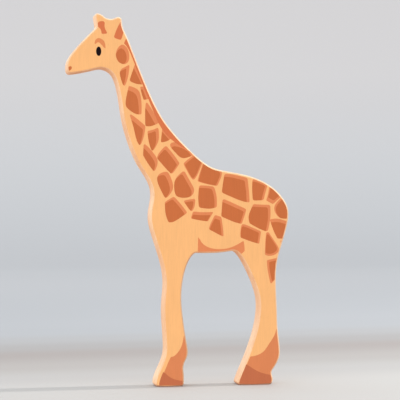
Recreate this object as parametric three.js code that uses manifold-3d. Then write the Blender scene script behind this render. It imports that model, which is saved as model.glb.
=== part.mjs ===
// A flat wooden giraffe that stands on its two feet and faces left, towards -X.
// It is one board sawn to the animal's outline, with every edge rounded over. A ground coat is printed
// on both flat faces, and the markings are printed on the near one in one or two layers of ink.
// Millimetres, +Z up, origin under the middle of the board at the soles. The near face looks along -Y.

import * as THREE from 'three';
import { mergeVertices } from 'three/addons/utils/BufferGeometryUtils.js';
import Module from 'manifold-3d';

// Driving dimensions
const thickness = 12;
const roundOver = 1;                    // radius of the rounded edge on both faces
const roundOverSteps = 3;
const coat = 0.1;                       // one printed layer
const printInset = 0.65 * roundOver;    // the print stops just where the edge starts to fall away
const turnPerStep = THREE.MathUtils.degToRad(10);

const face = thickness / 2;             // depth of the near flat face in front of the middle plane
const groundTop = face + coat;
const lightTop = groundTop + coat;
const darkTop = lightTop + coat;

// A shorter edge of the board would fold over when it moves in by the round-over.
const shortestBoardEdge = 2 * roundOver * Math.tan(turnPerStep / 2);
const shortestMarkEdge = 0.04;

// The board's outline. Every entry is a corner [x, z] of the polygon that the outline rides inside.
// A corner without a radius is a smooth bend that reaches half-way to both neighbours.
const forehead = [[-49.85, 145.7], [-42, 154.7], [-36.3, 160.2, 1.2]];
const horn = [[-37.1, 166.6, 1.05], [-34, 165.9], [-32.2, 164.1]];
const ear = [[-29.3, 163.7], [-26.9, 164.8, 1.2], [-25.2, 164.5, 1.1], [-24.8, 160]];
const nape = [[-22.3, 155.2], [-17.1, 140.9], [-10, 124.2], [-3.7, 114.2], [12.4, 98]];
const back = [[21.4, 95.8], [31.8, 94], [41.2, 89.9], [47.8, 83.5], [50.3, 77], [47.9, 67]];
const rearLegBack = [[44.9, 58], [43.7, 51.5], [43.7, 42.5], [44.1, 33.5], [44.2, 26], [45, 19.2]];
const rearHeel = [[45.5, 12.6], [42.7, 7.6], [41.1, 5.6], [42.2, 2.2], [41.2, 0, 1.4]];
const rearLegFront = [[25.4, 0, 1.2], [26.9, 4.3], [30.5, 12.2], [35, 24.5], [36.6, 35.5],
  [35.2, 43.3], [30.2, 54.5], [26.2, 60.3]];
const belly = [[22, 60], [18.5, 59.4], [9.5, 59.3], [6.5, 59.6]];
const frontLegBack = [[3.5, 55.1], [1.4, 47.8], [0.6, 40], [1, 33.5], [2.2, 24], [3.2, 18.5]];
const frontHeel = [[3.7, 13.9], [1.2, 9.3], [1.7, 5], [1.6, 0, 1.5]];
const frontLegFront = [[-11.5, 0, 1.4], [-11, 4.2], [-6.6, 13], [-6.4, 19.5], [-7.3, 32],
  [-7, 39], [-6.1, 46.8], [-7.5, 55.5], [-11.1, 66.5]];
const chest = [[-13.5, 75.5], [-11.2, 85.5], [-12.7, 91.6], [-18.2, 99.7], [-21.9, 108.9]];
const throat = [[-24.6, 118.6], [-25.8, 128], [-27.2, 135.4], [-29.3, 140.2], [-33.8, 142.4]];
const jaw = [[-38.5, 141.2], [-45.5, 139.8], [-49.4, 139.5, 1.7]];
const boardCorners = [...forehead, ...horn, ...ear, ...nape, ...back, ...rearLegBack, ...rearHeel,
  ...rearLegFront, ...belly, ...frontLegBack, ...frontHeel, ...frontLegFront, ...chest, ...throat,
  ...jaw];

// The mane runs down the nape from behind the ear, and covers the ends of the spots beside it.
const maneCorners = [[-22.9, 155.6, 0.3], [-16, 141.5], [-8.6, 124.4], [-2.6, 114.3], [6.6, 104.5, 0.2],
  [3.4, 105.7], [-0.7, 108.1], [-5.2, 111.7], [-8.8, 116.8], [-11.5, 123.3], [-16.1, 134.9],
  [-19.8, 144.8], [-22.2, 150.7], [-24.2, 153.1, 0.4]];

// Spots of two inks. Each has the corners of its light patch, and the dark patch's move across and up
// and its size beside the light patch. The dark patch never leaves the light one.
const neckSpots = [
  { light: [[-28.2, 149.2], [-25.2, 153.2], [-22.1, 150.5], [-21.7, 145.3], [-24, 143.3], [-27.3, 144.9]],
    dark: [-0.6, -0.8, 0.8] },
  { light: [[-21.8, 143.5, 0.3], [-26.5, 141.2], [-25.7, 137], [-24.4, 133.6], [-23.3, 135.2],
    [-22.1, 139.5]],
    dark: [-1.4, -1.6, 1] },
  { light: [[-19.1, 144.5, 0.3], [-21.9, 136.3, 0.9], [-18.4, 134.7], [-14.4, 134.8, 0.3]],
    dark: [-1.3, -1.5, 1] },
  { light: [[-22.2, 134.2, 0.6], [-18.4, 132.9], [-16.9, 130.6], [-16.4, 124.5], [-16.7, 121.4, 0.5],
    [-19.3, 121.4], [-23.3, 124.3], [-23.9, 126.6]],
    dark: [-1.3, -1.7, 1] },
  { light: [[-17.2, 133.7, 0.4], [-14.4, 133.8, 0.2], [-12.4, 128.1, 0.2], [-15.6, 127.9, 0.4]],
    dark: [-1.4, -1.3, 1] },
  { light: [[-14.4, 127.2, 0.4], [-11.9, 123.7], [-8.6, 117.7, 0.5], [-12.3, 116], [-14.9, 116.2, 0.6],
    [-15, 124.1]],
    dark: [-1.5, -1.4, 1] },
  { light: [[-22.1, 121.9, 0.4], [-19, 119.9], [-14.9, 116.3, 0.7], [-15.2, 112.8], [-17.2, 106.9],
    [-18.9, 109.6], [-20.3, 116.2]],
    dark: [-1.1, -1.6, 1] },
  { light: [[-9.1, 115.6, 0.5], [-11.2, 114.6], [-14, 114, 0.6], [-13.6, 109.6], [-12.2, 104.8],
    [-10.8, 106], [-8.6, 110.2]],
    dark: [-1.3, -1.5, 1] },
  { light: [[-7.3, 115.4, 0.3], [-3.2, 110.7, 0.4], [-5.3, 109.3], [-8, 108.9, 0.4]],
    dark: [-0.9, -0.9, 1] },
  { light: [[-15.7, 108.5, 0.5], [-13.8, 107.2], [-9.8, 102.3], [-9.3, 99.4], [-11.1, 95.6, 0.6],
    [-16, 103.1, 0.7]],
    dark: [-1.2, -1.3, 1] },
  { light: [[-5.7, 107.6, 0.8], [0.4, 99.6, 0.8], [-3.2, 94.5, 0.9], [-9.9, 101.9, 0.7], [-9, 104.3]],
    dark: [-0.55, -0.9, 0.88] },
  { light: [[-2.7, 109.3], [-4.4, 107.6], [-1.4, 104.2], [1.2, 101.6], [4.4, 102.2], [7.2, 103.5, 0.3],
    [5.8, 105.6, 0.3], [2.4, 108]],
    dark: [-0.5, -1.1, 0.8] },
];
const bodySpots = [
  { light: [[7.4, 103.8, 0.3], [2, 99.5, 0.8], [5, 93.6], [6.7, 91.6], [9, 95.5], [11.2, 101.2, 0.3]],
    dark: [-0.15, -0.3, 0.82] },
  { light: [[11.1, 100.3, 0.3], [17.9, 97.1], [20, 95.2], [17.2, 89.2, 0.9], [8.3, 91.4, 0.6]],
    dark: [-0.2, -0.3, 0.88] },
  { light: [[-5.5, 96.2], [-9.4, 94.8], [-10.1, 91.7], [-6.9, 85], [-5.9, 83.9], [-4.3, 85.4], [-2.6, 88],
    [-2.7, 90.8], [-4.2, 94.6]],
    dark: [-1.3, -1.2, 0.95] },
  { light: [[2.3, 96.4, 0.9], [-2.2, 92.5], [-2.2, 86.6], [-0.7, 84.2], [5.1, 84.1], [7.3, 87.3],
    [5.4, 90.9]],
    dark: [-0.9, -1.1, 0.95] },
  { light: [[-2.3, 84.8, 0.9], [-6.4, 82.3, 0.8], [-6.3, 76.9], [-4.8, 73.2, 0.8], [-2.3, 73.3],
    [3.7, 77.5, 0.6]],
    dark: [-0.7, -0.8, 0.93] },
  { light: [[1.9, 82.8, 0.5], [4.6, 83.4], [7.4, 83.7, 0.7], [7, 79.9], [5.5, 77.7, 0.7]],
    dark: [-0.35, -0.45, 0.78] },
  { light: [[9.1, 89.7, 1], [15.8, 89.1, 1.4], [17.1, 84.9], [17, 79.8, 0.9], [13.9, 79], [9, 79.7, 1],
    [8.5, 83.9]],
    dark: [-0.8, -0.7, 0.93] },
  { light: [[6.3, 78, 0.7], [10.2, 77.6], [15.5, 77.7, 0.3], [14.2, 75.7], [12.9, 73.5, 0.7],
    [5.2, 74.9, 0.5]],
    dark: [-0.6, -1.1, 0.87] },
  { light: [[16.2, 76.4, 0.8], [19, 75.4, 0.6], [19.7, 70.8], [20, 66.4, 0.5], [17.1, 68],
    [13.3, 70, 0.6], [14, 72.4]],
    dark: [-0.25, -0.6, 0.8] },
  { light: [[20.6, 94.7, 1], [24.1, 94.6], [31, 92.8, 1], [31.7, 86.9], [31.9, 81.8, 0.5], [28.1, 82.4],
    [19.3, 86.4, 0.9], [19.9, 90.9]],
    dark: [-1, -0.95, 0.95] },
  { light: [[33.4, 92.6, 0.9], [36.4, 92.2], [40.3, 90.2, 0.3], [39.1, 86.2], [38.3, 82.8, 1.2],
    [33.4, 82.7, 0.9],
    [33, 88.2]],
    dark: [-1, -0.9, 0.93] },
  { light: [[19.7, 83.6, 0.7], [22.3, 82.6], [30.4, 78.8, 0.6], [29.7, 76.3], [28.2, 72.2, 0.6],
    [24.4, 73.2],
    [19, 75.7, 0.8], [19.3, 79.8]],
    dark: [-0.9, -1, 0.95] },
  { light: [[41.2, 90.2, 0.3], [47.3, 85.2, 0.3], [42.5, 81, 0.6], [39.5, 82.7, 0.4], [40.4, 85.6]],
    dark: [0.25, 0.9, 0.84] },
  { light: [[46.7, 84.3, 0.3], [42.3, 79.7], [44.9, 74.6], [48.9, 74.4, 0.6], [50.5, 78.2]],
    dark: [0.6, -0.5, 0.97] },
  { light: [[33.6, 81.1, 0.9], [37.1, 80.8], [41.3, 80.7, 1], [41.5, 74.9], [40, 68.6, 0.9], [36.6, 69.7],
    [31.8, 72.5, 1.2], [31.1, 75.8]],
    dark: [-0.9, -0.8, 0.95] },
  { light: [[41, 74.1, 0.5], [44.4, 74.7], [49, 73.2, 0.3], [47.3, 65.5, 0.5], [44.5, 65.5, 0.9],
    [42.7, 68.9]],
    dark: [0, -1.5, 1] },
  { light: [[28.3, 72.3, 0.9], [30.4, 71.8], [37, 68.8, 0.7], [36.6, 66], [36.1, 63.2, 0.4], [32, 64.4],
    [27.6, 66.2, 0.7], [27.6, 69.5]],
    dark: [-0.4, -0.5, 0.88] },
  { light: [[39.6, 69.6, 0.7], [38.9, 64.9], [38.7, 58.2, 0.8], [40.9, 57.6], [43.7, 58.3], [45.6, 60.5],
    [43.1, 64.5]],
    dark: [-0.3, -0.05, 0.82] },
  { light: [[45.2, 57, 0.3], [39.6, 55.8, 0.4], [39.7, 51.8], [41.2, 45, 0.4], [43.6, 47.6, 0.3],
    [44.2, 51.8]],
    dark: [0.5, 0, 0.82] },
];

// Marks of one ink
const hornMarkCorners = [[-36.5, 161], [-35.2, 162.9], [-32.5, 162.8], [-33, 160.3], [-31.5, 157.3, 0.4],
  [-34.1, 157.2, 0.4], [-34.4, 159.3]];
const earMarkCorners = [[-25.5, 162.9, 0.2], [-24, 158.9, 0.6], [-25.5, 154.4, 0.7], [-28.7, 155.5, 0.7],
  [-27.7, 158.8]];
const eyebrowCorners = [[-37.4, 152.9, 0.15], [-36.9, 154.7], [-35.3, 155.6], [-32.6, 153.9],
  [-32.4, 150.1, 0.2], [-33.9, 152.1], [-35.7, 153.8], [-36.9, 152.6, 0.15]];
const bellyShadeCorners = [[8.5, 67.4, 0.2], [10.2, 63.3], [15, 61], [21.5, 61.1], [25.5, 62.6],
  [29.1, 64.7, 0.3], [29.5, 60.1, 0.3], [27, 58], [24, 57, 0.2], [7.9, 57, 0.2]];
const frontHoofTop = [[-7.6, 6.8, 0.2], [-5, 4.2], [-1.8, 2.8], [2.6, 2.2, 0.2]];
const frontHoofCorners = [...frontHoofTop, [2.6, -1, 0.2], [-9.8, -1, 0.2], [-9.4, 2.8]];
const frontLegShadeCorners = [[2.1, 26, 0.2], [1, 17.8], [-2.4, 13.5], [-4.3, 13.2, 0.5], [-7.4, 6.2, 0.2],
  [-4, 0, 0.2], [5, 0, 0.2], [5, 14]];
const rearHoofTop = [[30, 9.4, 0.2], [33.6, 6.7], [37.4, 5], [44, 3.7, 0.2]];
const rearHoofCorners = [...rearHoofTop, [44, -1, 0.2], [25, -1, 0.2], [25, 4]];
const rearLegShadeCorners = [[44.2, 27.4, 0.2], [43.1, 22.3], [40.3, 18.3], [37.6, 14.3], [33.4, 12.8],
  [31.8, 12.8, 0.4], [29.6, 8, 0.2], [34, 2, 0.2], [48, 2, 0.2], [48, 16]];
const rumpFleckCorners = [[45.8, 64.7, 0.15], [47.4, 64.6, 0.15], [47, 62.7, 0.15], [46, 63.1, 0.15]];
const eye = { x: -35.5, z: 149.45, wide: 1.15, high: 2.1, tilt: 0 };
const nostril = { x: -48.6, z: 141.75, wide: 1.3, high: 0.8, tilt: THREE.MathUtils.degToRad(38) };

const wasm = await Module();
wasm.setup();
const giraffe = new THREE.Group();

function finish(color, roughness) {
  return new THREE.MeshStandardMaterial({ color, roughness, metalness: 0 });
}

const inks = {
  wood: finish(0xf3c9a2, 0.5),
  ground: finish(0xf9bc83, 0.55),
  shade: finish(0xdb8a56, 0.55),
  spot: finish(0xcb7142, 0.55),
  mane: finish(0xd77546, 0.55),
  brow: finish(0xe08e5a, 0.55),
  hoof: finish(0xc26f4b, 0.55),
  eye: finish(0x1e1923, 0.35),
};

// Points round one corner: an arc where the corner has a radius, and otherwise a smooth bend
function roundCorner(last, here, next) {
  const arriving = here.clone().sub(last);
  const leaving = next.clone().sub(here);
  const turn = Math.atan2(arriving.cross(leaving), arriving.dot(leaving));
  const steps = Math.max(2, Math.ceil(Math.abs(turn) / turnPerStep));
  if (!here.radius) {
    const start = last.clone().lerp(here, 0.5);
    const end = here.clone().lerp(next, 0.5);
    return new THREE.QuadraticBezierCurve(start, here, end).getPoints(steps);
  }
  arriving.normalize();
  const start = here.clone().addScaledVector(arriving, -here.radius * Math.tan(Math.abs(turn) / 2));
  const sideways = new THREE.Vector2(-arriving.y, arriving.x);
  const centre = start.clone().addScaledVector(sideways, here.radius * Math.sign(turn));
  const stepNumbers = Array.from({ length: steps + 1 }, (_, step) => step);
  return stepNumbers.map((step) => start.clone().rotateAround(centre, turn * step / steps));
}

function outline(corners, shortestEdge = shortestMarkEdge) {
  const places = corners.map(([x, z, radius]) => Object.assign(new THREE.Vector2(x, z), { radius }));
  const points = places.flatMap((here, i) =>
    roundCorner(places.at(i - 1), here, places[(i + 1) % places.length]));
  const apart = points.filter((point, i) => point.distanceTo(points.at(i - 1)) > shortestEdge);
  return THREE.ShapeUtils.isClockWise(apart) ? apart.reverse() : apart;
}

function ellipse({ x, z, wide, high, tilt }) {
  return new THREE.EllipseCurve(x, z, wide, high, 0, 2 * Math.PI, false, tilt).getPoints(20).slice(0, -1);
}

// The same outline, moved inwards by a distance
function inset(points, distance) {
  return points.map((here, i) => {
    const before = here.clone().sub(points.at(i - 1)).normalize();
    const after = points[(i + 1) % points.length].clone().sub(here).normalize();
    const inward = new THREE.Vector2(-before.y - after.y, before.x + after.x).normalize();
    const lean = inward.dot(new THREE.Vector2(-before.y, before.x));
    return here.clone().addScaledVector(inward, distance / lean);
  });
}

// The same outline, scaled about its middle and moved
function copyOf(points, [across, up, size]) {
  const box = new THREE.Box2().setFromPoints(points);
  const middle = box.getCenter(new THREE.Vector2());
  const move = new THREE.Vector2(across, up);
  return points.map((point) => point.clone().sub(middle).multiplyScalar(size).add(middle).add(move));
}

// A slab of an outline between two depths in front of the board's middle plane
function slab(points, from, to) {
  const options = { depth: to - from, bevelEnabled: false };
  return new THREE.ExtrudeGeometry(new THREE.Shape(points), options).translate(0, 0, from);
}

function toSolid(geometry) {
  const bare = geometry.clone();
  bare.deleteAttribute('normal');
  bare.deleteAttribute('uv');
  const merged = mergeVertices(bare, 1e-5);
  const vertProperties = Float32Array.from(merged.attributes.position.array);
  const triVerts = Uint32Array.from(merged.index.array);
  return new wasm.Manifold(new wasm.Mesh({ numProp: 3, vertProperties, triVerts }));
}

function toGeometry(solid) {
  const mesh = solid.getMesh();
  const geometry = new THREE.BufferGeometry();
  geometry.setAttribute('position', new THREE.BufferAttribute(mesh.vertProperties, 3));
  geometry.setIndex(new THREE.BufferAttribute(mesh.triVerts, 1));
  return geometry;
}

// Outlines are drawn in X and Y with depth along Z, and stand up when they join the group.
function addPart(name, geometry, material) {
  const mesh = new THREE.Mesh(geometry, material);
  mesh.name = name;
  mesh.rotation.x = Math.PI / 2;
  giraffe.add(mesh);
}

const boardOutline = outline(boardCorners, shortestBoardEdge);
const printOutline = inset(boardOutline, printInset);
const printable = toSolid(slab(printOutline, face - 1, face + 1));

function addBoard() {
  const geometry = new THREE.ExtrudeGeometry(new THREE.Shape(boardOutline), {
    depth: thickness - 2 * roundOver,
    bevelThickness: roundOver,
    bevelSize: roundOver,
    bevelOffset: -roundOver,
    bevelSegments: roundOverSteps,
  });
  geometry.translate(0, 0, roundOver - face);
  addPart('board', geometry, inks.wood);
}

function addGroundCoats() {
  addPart('near_ground_coat', slab(printOutline, face, groundTop), inks.ground);
  addPart('far_ground_coat', slab(printOutline, -groundTop, -face), inks.ground);
}

// A mark of one ink, cut off at the print's edge and by any mark that lies over it
function addMark(name, points, material, cover = null) {
  let mark = toSolid(slab(points, groundTop, lightTop)).intersect(printable);
  if (cover) mark = mark.subtract(cover);
  addPart(name, toGeometry(mark), material);
}

function addSpot(name, { light, dark }, cover) {
  const points = outline(light);
  const lightSolid = toSolid(slab(points, groundTop, lightTop));
  const reach = toSolid(slab(points, groundTop, darkTop));
  const darkSolid = toSolid(slab(copyOf(points, dark), groundTop, darkTop)).intersect(reach);
  const spot = lightSolid.add(darkSolid).intersect(printable).subtract(cover);
  addPart(name, toGeometry(spot), inks.spot);
}

function cover(corners) {
  return toSolid(slab(outline(corners), face - 1, face + 1));
}

addBoard();
addGroundCoats();
addMark('mane_stripe', outline(maneCorners), inks.mane);
neckSpots.forEach((spot, i) => addSpot(`neck_spot_${i + 1}`, spot, cover(maneCorners)));
bodySpots.forEach((spot, i) => addSpot(`body_spot_${i + 1}`, spot, cover(maneCorners)));
addMark('horn_mark', outline(hornMarkCorners), inks.mane);
addMark('ear_mark', outline(earMarkCorners), inks.mane);
addMark('eyebrow', outline(eyebrowCorners), inks.brow);
addMark('eye', ellipse(eye), inks.eye);
addMark('nostril', ellipse(nostril), inks.spot);
addMark('belly_shade', outline(bellyShadeCorners), inks.shade);
addMark('front_leg_shade', outline(frontLegShadeCorners), inks.shade, cover(frontHoofCorners));
addMark('front_hoof', outline(frontHoofCorners), inks.hoof);
addMark('rear_leg_shade', outline(rearLegShadeCorners), inks.shade, cover(rearHoofCorners));
addMark('rear_hoof', outline(rearHoofCorners), inks.hoof);
addMark('rump_fleck', outline(rumpFleckCorners), inks.shade);

export default giraffe;
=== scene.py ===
"""The flat wooden giraffe: a finely rounded board, thin printed marks on both faces, studio and camera.

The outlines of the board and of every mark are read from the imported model, and smoothed. Metres, +Z up,
the giraffe faces -X and its near face looks along -Y.
"""

import math

import bmesh
import bpy
from mathutils import Matrix, Vector, noise


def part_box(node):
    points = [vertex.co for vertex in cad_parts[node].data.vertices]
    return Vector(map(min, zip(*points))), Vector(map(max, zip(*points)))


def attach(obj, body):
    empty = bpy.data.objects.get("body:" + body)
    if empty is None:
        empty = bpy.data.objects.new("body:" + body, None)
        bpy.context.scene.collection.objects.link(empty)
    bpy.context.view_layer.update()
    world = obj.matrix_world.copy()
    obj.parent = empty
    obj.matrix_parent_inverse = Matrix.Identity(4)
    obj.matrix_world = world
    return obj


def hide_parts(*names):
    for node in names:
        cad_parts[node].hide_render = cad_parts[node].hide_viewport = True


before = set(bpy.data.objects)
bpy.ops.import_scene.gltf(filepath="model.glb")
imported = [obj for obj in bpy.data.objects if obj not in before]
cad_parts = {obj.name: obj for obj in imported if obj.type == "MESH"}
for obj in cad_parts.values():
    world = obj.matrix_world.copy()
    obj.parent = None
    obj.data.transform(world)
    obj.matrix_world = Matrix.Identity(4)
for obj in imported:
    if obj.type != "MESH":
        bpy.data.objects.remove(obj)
bpy.context.view_layer.update()

MM = 0.001
NEAR = -1                       # the sign of Y on the two sides of the board
FAR = 1

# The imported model's depths, from the middle plane of the board to the outside of each layer
FACE = -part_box("board")[0].y
GROUND_TOP = -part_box("near_ground_coat")[0].y
DARK_TOP = -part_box("neck_spot_1")[0].y

ROUND_OVER = 1.0 * MM           # radius of the board's rounded edges
ROUND_OVER_STEPS = 8
CURVE_STEPS = 4                 # steps that each edge of a CAD outline is smoothed into
SHARP = math.radians(32)        # a corner that turns more than this stays sharp
SAME_DEPTH = 0.01 * MM          # points closer than this to a depth lie at it
INK = 0.015 * MM                # a real layer of ink

# Sizes in millimetres of the wood's and the ink's features, across the face, through the board and up
FIBRE = (0.35, 0.35, 9.0)
PORE = (0.16, 0.3, 2.6)
GROWTH_RING = (3.2, 11.0, 90.0)
INK_MOTTLE = (5.0, 5.0, 14.0)


# ---------------------------------------------------------------- outlines


def wall_line(node, depth):
    """The closed line where a CAD node's wall meets one depth, as (x, z) vectors.

    It runs anticlockwise as seen from the front.
    """
    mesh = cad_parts[node].data
    beside = {}
    for face in mesh.polygons:
        corners = [mesh.vertices[i].co for i in face.vertices]
        on_line = [Vector((c.x, c.z)).freeze() for c in corners if abs(c.y + depth) < SAME_DEPTH]
        if len(on_line) == 2:
            # Faces that share a corner are matched by its place to 0.0001 mm.
            a, b = ((round(p.x / MM, 4), round(p.y / MM, 4)) for p in on_line)
            beside.setdefault(a, set()).add(b)
            beside.setdefault(b, set()).add(a)
    line = [min(beside)]
    here = min(beside[line[0]])
    while here != line[0]:
        onward = beside[here] - {line[-1]}
        line.append(here)
        here = min(onward)
    points = [Vector(p) * MM for p in line]
    area = sum(a.cross(b) for a, b in zip(points, points[1:] + points[:1]))
    return points if area > 0 else points[::-1]


def smoothed(points):
    """A smooth closed curve through the points, which keeps their sharp corners."""
    count = len(points)
    steps = [points[(i + 1) % count] - points[i] for i in range(count)]
    lengths = [step.length for step in steps]
    ways = [step.normalized() for step in steps]
    curve = []
    for i in range(count):
        after = (i + 1) % count
        start_way = corner_way(ways[i - 1], ways[i], lengths[i - 1], lengths[i], ways[i])
        end_way = corner_way(ways[i], ways[after], lengths[i], lengths[after], ways[i])
        for step in range(CURVE_STEPS):
            t = step / CURVE_STEPS
            # A Hermite curve from this point to the next
            curve.append(
                points[i] * (2 * t**3 - 3 * t**2 + 1)
                + start_way * lengths[i] * (t**3 - 2 * t**2 + t)
                + points[after] * (3 * t**2 - 2 * t**3)
                + end_way * lengths[i] * (t**3 - t**2)
            )
    return curve


def corner_way(before, after, length_before, length_after, own):
    """The curve's direction at a point.

    It is its own edge's direction at a sharp corner, and otherwise a blend of both edges' directions.
    """
    if before.angle(after) > SHARP:
        return own
    return (before * length_after + after * length_before).normalized()


def lined_up(points, other):
    """The points, turned round their closed line until each is beside its own point of the other line."""
    count = len(points)
    every_few = range(0, count, 7)

    def apart(start):
        return sum((points[(start + i) % count] - other[i]).length for i in every_few)

    start = min(range(count), key=apart)
    return points[start:] + points[:start]


# ---------------------------------------------------------------- meshes


def add_piece(name, bm, materials, replaced=()):
    """A piece with the given materials, which stands in for the CAD nodes that it replaces."""
    bmesh.ops.recalc_face_normals(bm, faces=bm.faces)
    mesh = bpy.data.meshes.new(name)
    bm.to_mesh(mesh)
    bm.free()
    for material in materials:
        mesh.materials.append(material)
    piece = bpy.data.objects.new(name, mesh)
    bpy.context.collection.objects.link(piece)
    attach(piece, "root")
    if replaced:
        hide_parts(*replaced)


def ring(bm, points, y):
    """The vertices of one outline at one depth."""
    return [bm.verts.new((point.x, y, point.y)) for point in points]


def bridge(bm, first, second, smooth):
    """The faces that join two closed rings of vertices."""
    faces = []
    for i in range(len(first)):
        after = (i + 1) % len(first)
        face = bm.faces.new((first[i], first[after], second[after], second[i]))
        face.smooth = smooth
        faces.append(face)
    return faces


def add_film(bm, points, side, bottom, top, material_index=0):
    """A closed film of ink over an outline, between two distances from the middle plane, on one side."""
    low = ring(bm, points, side * bottom)
    high = ring(bm, points, side * top)
    faces = bridge(bm, low, high, smooth=False)
    faces.append(bm.faces.new(low))
    faces.append(bm.faces.new(high))
    for face in faces:
        face.material_index = material_index


def make_board(material):
    """The board with a fine round-over, which hand sanding leaves up to 14 % narrower in places."""
    narrowest = 0.86
    patch = 9 * MM
    wall = wall_line("board", FACE - ROUND_OVER)
    edge_of_face = smoothed(lined_up(wall_line("board", FACE), wall))
    wall = smoothed(wall)
    middle = (1 + narrowest) / 2
    reach = [middle + (1 - middle) * noise.noise(Vector((p.x, p.y, 0)) / patch) for p in wall]
    bm = bmesh.new()
    rings = []
    for side in (NEAR, FAR):
        angles = [math.pi / 2 * step / ROUND_OVER_STEPS for step in range(ROUND_OVER_STEPS + 1)]
        for angle in angles if side == FAR else angles[::-1]:
            inwards = 1 - math.cos(angle)
            line = [w.lerp(e, r * inwards) for w, e, r in zip(wall, edge_of_face, reach)]
            rings.append(ring(bm, line, side * (FACE - ROUND_OVER + ROUND_OVER * math.sin(angle))))
    for first, second in zip(rings, rings[1:]):
        bridge(bm, first, second, smooth=True)
    bm.faces.new(rings[0])
    bm.faces.new(rings[-1])
    add_piece("board_rounded", bm, [material], ["board"])


def make_ground_coats(material):
    outline = smoothed(wall_line("near_ground_coat", FACE))
    for name, side in (("near_ground_coat", NEAR), ("far_ground_coat", FAR)):
        bm = bmesh.new()
        add_film(bm, outline, side, FACE, FACE + INK)
        add_piece(f"{name}_print", bm, [material], [name])


def make_mark(node, inks):
    """A mark on both faces. Its second ink, where it has one, lies over the first."""
    first = smoothed(wall_line(node, GROUND_TOP))
    second = smoothed(wall_line(node, DARK_TOP)) if len(inks) > 1 else None
    for side, prefix in ((NEAR, ""), (FAR, "far_")):
        bm = bmesh.new()
        add_film(bm, first, side, FACE + INK, FACE + 2 * INK)
        if second:
            add_film(bm, second, side, FACE + 2 * INK, FACE + 3 * INK, material_index=1)
        add_piece(f"{prefix}{node}_print", bm, inks, [node] if side == NEAR else [])


# ---------------------------------------------------------------- materials


def colour(red, green, blue):
    """A shader colour from sRGB screen values out of 255."""
    parts = (value / 255 for value in (red, green, blue))
    return (*(c / 12.92 if c <= 0.04045 else ((c + 0.055) / 1.055) ** 2.4 for c in parts), 1)


class Nodes:
    """A node tree that is built in short calls. An input is a plain value or another node's output."""

    # Where a Mix node for colours has its sockets
    MIX_FACTOR = 0
    MIX_FIRST = 6
    MIX_SECOND = 7
    MIX_RESULT = 2

    def __init__(self, tree):
        self.tree = tree

    def feed(self, socket, value):
        if isinstance(value, bpy.types.NodeSocket):
            self.tree.links.new(value, socket)
        else:
            socket.default_value = value

    def node(self, kind, **inputs):
        """A new node. In the name of an input, _ stands for a space."""
        made = self.tree.nodes.new(kind)
        for key, value in inputs.items():
            self.feed(made.inputs[key.replace("_", " ")], value)
        return made

    def coordinates(self, kind):
        return self.node("ShaderNodeTexCoord").outputs[kind]

    def axis(self, vector, name):
        return self.node("ShaderNodeSeparateXYZ", Vector=vector).outputs[name]

    def spread(self, value, low, high, to_low, to_high):
        """The value as it goes from low to high, carried over to go from to_low to to_high."""
        made = self.node("ShaderNodeMapRange", Value=value, From_Min=low, From_Max=high, To_Min=to_low,
                         To_Max=to_high)
        return made.outputs["Result"]

    def product(self, first, second):
        made = self.tree.nodes.new("ShaderNodeMath")
        made.operation = "MULTIPLY"
        self.feed(made.inputs[0], first)
        self.feed(made.inputs[1], second)
        return made.outputs["Value"]

    def mix(self, factor, first, second):
        made = self.tree.nodes.new("ShaderNodeMix")
        made.data_type = "RGBA"
        self.feed(made.inputs[self.MIX_FACTOR], factor)
        self.feed(made.inputs[self.MIX_FIRST], first)
        self.feed(made.inputs[self.MIX_SECOND], second)
        return made.outputs[self.MIX_RESULT]


class Shader(Nodes):
    """A Principled material for pieces whose coordinates are metres in the frame."""

    def __init__(self, name):
        self.material = bpy.data.materials.new(name)
        self.material.use_nodes = True
        super().__init__(self.material.node_tree)
        self.principled = self.tree.nodes["Principled BSDF"]

    def place(self, stretch=(1.0, 1.0, 1.0)):
        """The point's place in the frame, in millimetres, divided by stretch along each axis."""
        scale = [1 / MM / s for s in stretch]
        made = self.node("ShaderNodeMapping", Vector=self.coordinates("Object"), Scale=scale)
        return made.outputs["Vector"]

    def noise(self, stretch, detail=2.0, roughness=0.5, distortion=0.0):
        """A pattern from 0 to 1, with patches about stretch millimetres long along each axis."""
        made = self.node("ShaderNodeTexNoise", Vector=self.place(stretch), Scale=1.0, Detail=detail,
                         Roughness=roughness, Distortion=distortion)
        return made.outputs["Fac"]

    def vary(self, pattern, low, high):
        """A value that follows a noise between low and high. Most of a noise lies from 0.3 to 0.7."""
        return self.spread(pattern, 0.3, 0.7, low, high)

    def pores(self, rarity):
        """Short open pores along Z: 1 in a pore and 0 beside it."""
        return self.spread(self.noise(PORE, detail=1.0), rarity, rarity + 0.08, 0.0, 1.0)

    def fibres(self):
        return self.noise(FIBRE, detail=4.0, roughness=0.6)

    def brightened(self, base, factor):
        return self.node("ShaderNodeHueSaturation", Color=base, Value=factor).outputs["Color"]

    def bump(self, height, depth):
        """Relief in the surface, where a height of 1 stands proud by a depth in metres."""
        made = self.node("ShaderNodeBump", Height=height, Distance=depth, Strength=1.0)
        self.feed(self.principled.inputs["Normal"], made.outputs["Normal"])

    def set(self, **inputs):
        for key, value in inputs.items():
            self.feed(self.principled.inputs[key.replace("_", " ")], value)


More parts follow.
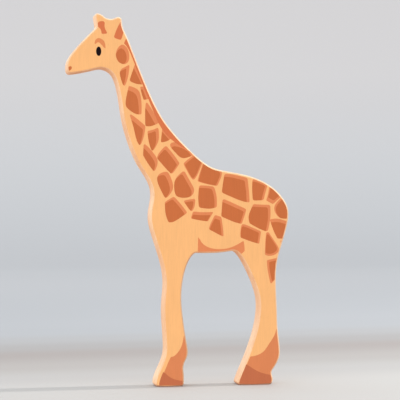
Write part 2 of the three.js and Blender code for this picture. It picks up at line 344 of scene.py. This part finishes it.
def wood_material():
    """Pale lacquered hardwood, with growth rings, fibres and pores along Z, and painted contact shade that
    darkens it near the floor.
    """
    pore_depth = 0.03 * MM
    shader = Shader("pale_wood")
    fibres = shader.fibres()
    rings = shader.spread(shader.noise(GROWTH_RING, detail=1.0, distortion=0.4), 0.4, 0.62, 0.0, 1.0)
    pores = shader.pores(0.66)
    # Painted shade: the wood turns dark brown within about a millimetre of the floor, in place of the
    # contact shadow under the feet.
    painted_contact_shade = shader.spread(shader.axis(shader.place(), "Z"), 0.2, 1.3, 0.8, 0.0)
    base = shader.mix(rings, colour(236, 200, 158), colour(230, 186, 141))
    base = shader.brightened(base, shader.vary(fibres, 0.93, 1.05))
    base = shader.mix(shader.product(pores, 0.55), base, colour(190, 126, 76))
    base = shader.mix(painted_contact_shade, base, colour(132, 78, 58))
    shader.set(Base_Color=base, Roughness=shader.vary(fibres, 0.45, 0.57), Specular_IOR_Level=0.5)
    shader.bump(shader.product(pores, -1.0), pore_depth)
    return shader.material


def ink_material(name, base, show=1.0, roughness=0.5, gloss=0.3):
    """Ink rolled on wood. The board's fibres and pores still show in it, as strongly as show says."""
    pore_depth = 0.012 * MM
    shader = Shader(name)
    fibres = shader.fibres()
    mottle = shader.noise(INK_MOTTLE, detail=3.0)
    pores = shader.pores(0.68)
    tone = shader.product(
        shader.vary(fibres, 1 - 0.03 * show, 1 + 0.03 * show),
        shader.vary(mottle, 1 - 0.02 * show, 1 + 0.02 * show),
    )
    tone = shader.product(tone, shader.spread(pores, 0.0, 1.0, 1.0, 1 - 0.1 * show))
    shader.set(
        Base_Color=shader.brightened(base, tone),
        Roughness=shader.vary(mottle, roughness - 0.05, roughness + 0.05),
        Specular_IOR_Level=gloss,
    )
    shader.bump(shader.product(pores, -1.0), pore_depth)
    return shader.material


def paper_material():
    """Pale paper, darkest along a slanting band of painted shade 0.2 m behind the giraffe, and paler up
    the wall, where light is painted in.
    """
    shader = Shader("pale_paper")
    place = shader.coordinates("Object")
    slant = (0, 0, math.radians(-9))
    turned = shader.node("ShaderNodeMapping", Rotation=slant, Vector=place)
    behind = shader.axis(turned.outputs["Vector"], "Y")
    # Painted shade: the floor's tone darkens towards a slanting band 0.2 m behind the giraffe and lightens
    # again beyond it.
    painted_shade_tones = (
        (0.0, colour(177, 173, 169)),
        (0.06, colour(169, 165, 162)),
        (0.12, colour(160, 154, 150)),
        (0.2, colour(150, 142, 138)),
        (0.25, colour(152, 148, 146)),
        (0.31, colour(158, 156, 156)),
        (0.37, colour(160, 160, 162)),
        (0.47, colour(162, 162, 164)),
        (1.2, colour(171, 170, 171)),
    )
    farthest = painted_shade_tones[-1][0]
    ramp = shader.node("ShaderNodeValToRGB", Fac=shader.spread(behind, 0.0, farthest, 0.0, 1.0))
    ramp.color_ramp.interpolation = "EASE"
    elements = ramp.color_ramp.elements
    while len(elements) < len(painted_shade_tones):
        elements.new(0.5)
    for element, (distance, tone) in zip(elements, painted_shade_tones):
        element.position = distance / farthest
        element.color = tone
    grain = shader.noise((1.1, 1.1, 1.1), detail=3.0)
    # Painted light: the paper grows paler up the wall.
    painted_light_up_the_wall = shader.spread(shader.axis(place, "Z"), 0.0, 0.25, 0.0, 1.0)
    base = shader.mix(painted_light_up_the_wall, ramp.outputs["Color"], colour(206, 213, 216))
    base = shader.brightened(base, shader.vary(grain, 0.99, 1.01))
    shader.set(Base_Color=base, Roughness=0.8, Specular_IOR_Level=0.2)
    shader.bump(grain, 0.02 * MM)
    return shader.material


# ---------------------------------------------------------------- studio


def make_cyclorama():
    """A round floor that curves up into a wall all round, so that every view has the same plain ground."""
    floor_radius = 1.55
    cove_radius = 0.25
    wall_height = 0.3
    floor_steps = 24
    cove_steps = 9
    around = 96
    profile = [(floor_radius * step / floor_steps, 0.0) for step in range(1, floor_steps + 1)]
    for step in range(1, cove_steps + 1):
        angle = math.pi / 2 * step / cove_steps
        profile.append((floor_radius + cove_radius * math.sin(angle), cove_radius * (1 - math.cos(angle))))
    profile.append((floor_radius + cove_radius, cove_radius + wall_height))
    bm = bmesh.new()
    middle = bm.verts.new((0, 0, 0))
    rings = []
    for radius, height in profile:
        angles = (math.tau * i / around for i in range(around))
        rings.append([bm.verts.new((radius * math.cos(a), radius * math.sin(a), height)) for a in angles])
    for i in range(around):
        bm.faces.new((middle, rings[0][i], rings[0][(i + 1) % around]))
    for first, second in zip(rings, rings[1:]):
        bridge(bm, second, first, smooth=True)
    bmesh.ops.recalc_face_normals(bm, faces=bm.faces)
    mesh = bpy.data.meshes.new("cyclorama")
    bm.to_mesh(mesh)
    bm.free()
    mesh.materials.append(paper_material())
    stage = bpy.data.objects.new("cyclorama", mesh)
    stage.location.z = -0.02 * MM       # just clear of the soles
    # The sky lights the giraffe from below too, in place of what this floor would reflect.
    stage.visible_diffuse = False
    stage.visible_glossy = False
    stage.visible_shadow = False
    bpy.context.collection.objects.link(stage)


def add_area_light(name, place, target, size, power, tint):
    lamp = bpy.data.lights.new(name, "AREA")
    lamp.shape = "RECTANGLE"
    lamp.size, lamp.size_y = size
    lamp.energy = power
    lamp.color = tint
    light = bpy.data.objects.new(name, lamp)
    light.location = place
    light.rotation_euler = (Vector(target) - Vector(place)).to_track_quat("-Z", "Y").to_euler()
    light.visible_camera = False
    bpy.context.collection.objects.link(light)


def make_sky():
    """A soft white sky, brighter to the left than to the right, over a dim warm ground."""
    world = bpy.data.worlds.new("studio")
    world.use_nodes = True
    sky = Nodes(world.node_tree)
    way = sky.coordinates("Generated")
    horizon = sky.node("ShaderNodeMapRange", Value=sky.axis(way, "Z"), From_Min=-0.08, From_Max=0.12)
    horizon.interpolation_type = "SMOOTHSTEP"
    ground_light = (0.8, 0.53, 0.44, 1)
    sky_light = (1.4, 1.47, 1.53, 1)
    strength = sky.spread(sky.axis(way, "X"), -1.0, 1.0, 0.97, 0.8)
    background = sky.tree.nodes["Background"]
    sky.feed(background.inputs["Color"], sky.mix(horizon.outputs["Result"], ground_light, sky_light))
    sky.feed(background.inputs["Strength"], strength)
    bpy.context.scene.world = world


def make_lights():
    make_sky()
    centre = Vector((0, 0, 0.08))
    # The key stands to the right, a little behind the board's own plane, so it only grazes the near face.
    turn = math.radians(4)
    rise = math.radians(38)
    away = 1.1
    way = Vector((math.cos(turn) * math.cos(rise), math.sin(turn) * math.cos(rise), math.sin(rise)))
    add_area_light("key", centre + way * away, centre, (0.05, 0.4), 7.5, (1.0, 0.99, 0.97))
    # The fill is low in front and to the left, and draws a bright line down the arris that faces it.
    add_area_light("fill", (-0.85, -0.65, 0.05), centre, (0.6, 0.6), 3.0, (1.0, 1.0, 1.0))


def make_camera():
    """Level, 0.9 m away, a little to the left of square, with a long lens and a slight roll."""
    away = 0.9
    azimuth = math.radians(-8.3)
    roll = math.radians(-0.44)
    target = Vector((10.3 * MM, 0, 83.1 * MM))
    back = Vector((math.sin(azimuth), -math.cos(azimuth), 0))
    right = Vector((math.cos(azimuth), math.sin(azimuth), 0))
    up = Vector((0, 0, 1))
    rolled_right = right * math.cos(roll) + up * math.sin(roll)
    rolled_up = up * math.cos(roll) - right * math.sin(roll)
    data = bpy.data.cameras.new("camera")
    data.lens = 180
    data.sensor_width = 36
    data.clip_start = 0.05
    camera = bpy.data.objects.new("camera", data)
    turned = Matrix((rolled_right, rolled_up, back)).transposed()
    camera.matrix_world = Matrix.Translation(target + back * away) @ turned.to_4x4()
    bpy.context.collection.objects.link(camera)
    bpy.context.scene.camera = camera


# ---------------------------------------------------------------- the whole scene


def make_marks():
    light = ink_material("light_brown_ink", colour(219, 134, 83))
    dark = ink_material("dark_brown_ink", colour(195, 108, 55))
    mane = ink_material("red_brown_ink", colour(210, 116, 68))
    brow = ink_material("brow_ink", colour(219, 138, 84))
    shade = ink_material("leg_shade_ink", colour(213, 132, 83))
    hoof = ink_material("hoof_brown_ink", colour(188, 107, 68))
    black = ink_material("black_ink", colour(24, 14, 19), show=0.5, roughness=0.45, gloss=0.05)
    spots = sorted(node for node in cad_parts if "_spot_" in node)
    marks = (
        (spots, "spot_ink", [light, dark]),
        (["mane_stripe", "horn_mark", "ear_mark"], "mane_ink", [mane]),
        (["belly_shade", "rump_fleck"], "light_ink", [light]),
        (["front_leg_shade", "rear_leg_shade"], "light_ink", [shade]),
        (["front_hoof", "rear_hoof"], "hoof_ink", [hoof]),
        (["eyebrow"], "brow_ink", [brow]),
        (["eye"], "eye_ink", [black]),
        (["nostril"], "spot_ink", [dark]),
    )
    for nodes, slot, inks in marks:
        for node in nodes:
            make_mark(node, inks)


make_camera()
make_board(wood_material())
make_ground_coats(ink_material("apricot_ground", colour(241, 186, 122), show=1.3))
make_marks()
make_cyclorama()
make_lights()
bpy.context.scene.view_settings.view_transform = "Standard"
